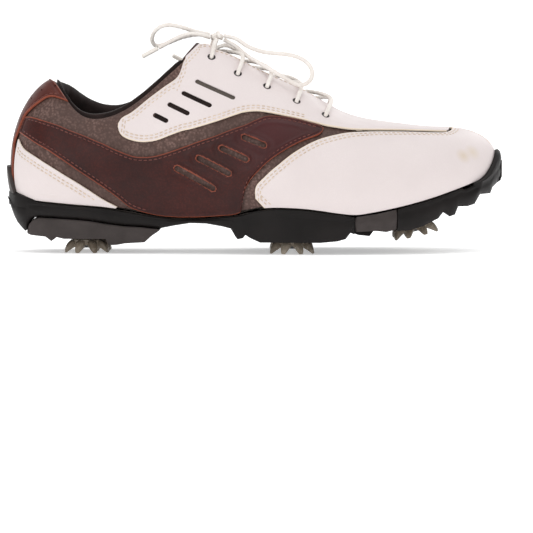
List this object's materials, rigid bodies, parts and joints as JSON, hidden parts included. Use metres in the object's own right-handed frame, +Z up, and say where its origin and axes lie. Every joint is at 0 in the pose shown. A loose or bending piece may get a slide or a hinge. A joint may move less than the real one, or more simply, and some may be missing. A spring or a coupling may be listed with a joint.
{
  "type": "golf shoe",
  "caption": "Right-foot leather golf shoe: a saddle-pattern low upper with a padded collar, laced over a tongue, on a rubber sole with twist-lock soft cleats.",
  "frame": {"origin": "On the ground under the middle of the shoe's bounding box, free cords left out.", "axes": "+X toward the toe, +Y toward the inner (medial) side, +Z up; the shoe stands on its heel and ball cleats."},
  "size_m": [0.3078, 0.112, 0.1415],
  "materials": {
    "white_leather": "smooth full-grain leather, slight sheen",
    "oxblood_leather": "polished dark red-brown leather",
    "tan_oxblood_leather": "polished lighter red-brown leather",
    "taupe_leather": "pebbled matte leather",
    "dark_lining": "brushed textile lining",
    "board": "pressed fibre board",
    "foam": "closed-cell foam",
    "stiffener": "stiff thermoplastic sheet",
    "black_rubber": "satin moulded rubber",
    "grey_plastic": "moulded thermoplastic urethane",
    "smoked_plastic": "translucent bronze-grey plastic",
    "black_plastic": "moulded nylon",
    "spring_steel": "spring steel strip",
    "dark_metal": "dark lacquered brass",
    "lace_cotton": "round braided lace",
    "aglet_plastic": "clear-white plastic sleeve"
  },
  "bodies": {
    "shoe": {"aglet_lateral": "aglet_plastic", "aglet_medial": "aglet_plastic", "backstay": "tan_oxblood_leather", "collar_pad": "dark_lining", "eyelet_lateral_1": "dark_metal", "eyelet_lateral_2": "dark_metal", "eyelet_lateral_3": "dark_metal", "eyelet_lateral_4": "dark_metal", "eyelet_lateral_5": "dark_metal", "eyelet_medial_1": "dark_metal", "eyelet_medial_2": "dark_metal", "eyelet_medial_3": "dark_metal", "eyelet_medial_4": "dark_metal", "eyelet_medial_5": "dark_metal", "flex_block_lateral": "grey_plastic", "flex_block_medial": "grey_plastic", "heel_counter": "stiffener", "heel_panel_lateral": "white_leather", "heel_panel_medial": "white_leather", "heel_plate": "grey_plastic", "heel_tab": "grey_plastic", "insole_board": "board", "lace_end_lateral": "lace_cotton", "lace_end_medial": "lace_cotton", "lace_knot": "lace_cotton", "lace_lacing": "lace_cotton", "lace_loop_heel": "lace_cotton", "lace_loop_toe": "lace_cotton", "midsole": "foam", "outsole": "black_rubber", "quarter_lateral": "taupe_leather", "quarter_lining": "dark_lining", "quarter_medial": "taupe_leather", "receptacle_ball_lateral": "black_plastic", "receptacle_ball_medial": "black_plastic", "receptacle_front_lateral": "black_plastic", "receptacle_front_medial": "black_plastic", "receptacle_heel_lateral": "black_plastic", "receptacle_heel_medial": "black_plastic", "saddle_lateral": "oxblood_leather", "saddle_medial": "oxblood_leather", "shank": "spring_steel", "sockliner": "dark_lining", "toe_guard": "white_leather", "toe_puff": "stiffener", "tongue": "oxblood_leather", "tongue_lining": "dark_lining", "vamp_and_facings": "white_leather", "vamp_lining": "dark_lining"},
    "cleat_heel_lateral": {"cleat_heel_lateral": "smoked_plastic"},
    "cleat_heel_medial": {"cleat_heel_medial": "smoked_plastic"},
    "cleat_ball_lateral": {"cleat_ball_lateral": "smoked_plastic"},
    "cleat_ball_medial": {"cleat_ball_medial": "smoked_plastic"},
    "cleat_front_lateral": {"cleat_front_lateral": "smoked_plastic"},
    "cleat_front_medial": {"cleat_front_medial": "smoked_plastic"}
  },
  "joints": [
    {"name": "cleat_heel_lateral_twist", "type": "hinge", "parent": "shoe", "child": "cleat_heel_lateral", "pos_m": [-0.104, -0.0162, 0], "axis": [0, 0, 1], "range_deg": [0, 90]},
    {"name": "cleat_heel_medial_twist", "type": "hinge", "parent": "shoe", "child": "cleat_heel_medial", "pos_m": [-0.104, 0.0162, 0], "axis": [0, 0, 1], "range_deg": [0, 90]},
    {"name": "cleat_ball_lateral_twist", "type": "hinge", "parent": "shoe", "child": "cleat_ball_lateral", "pos_m": [0.0225, -0.0305, 0], "axis": [0, 0, 1], "range_deg": [0, 90]},
    {"name": "cleat_ball_medial_twist", "type": "hinge", "parent": "shoe", "child": "cleat_ball_medial", "pos_m": [0.0225, 0.026, 0], "axis": [0, 0, 1], "range_deg": [0, 90]},
    {"name": "cleat_front_lateral_twist", "type": "hinge", "parent": "shoe", "child": "cleat_front_lateral", "pos_m": [0.0995, -0.0165, 0.0102], "axis": [-0.2164, 0, 0.9763], "range_deg": [0, 90]},
    {"name": "cleat_front_medial_twist", "type": "hinge", "parent": "shoe", "child": "cleat_front_medial", "pos_m": [0.0995, 0.0235, 0.0102], "axis": [-0.2164, 0, 0.9763], "range_deg": [0, 90]}
  ]
}
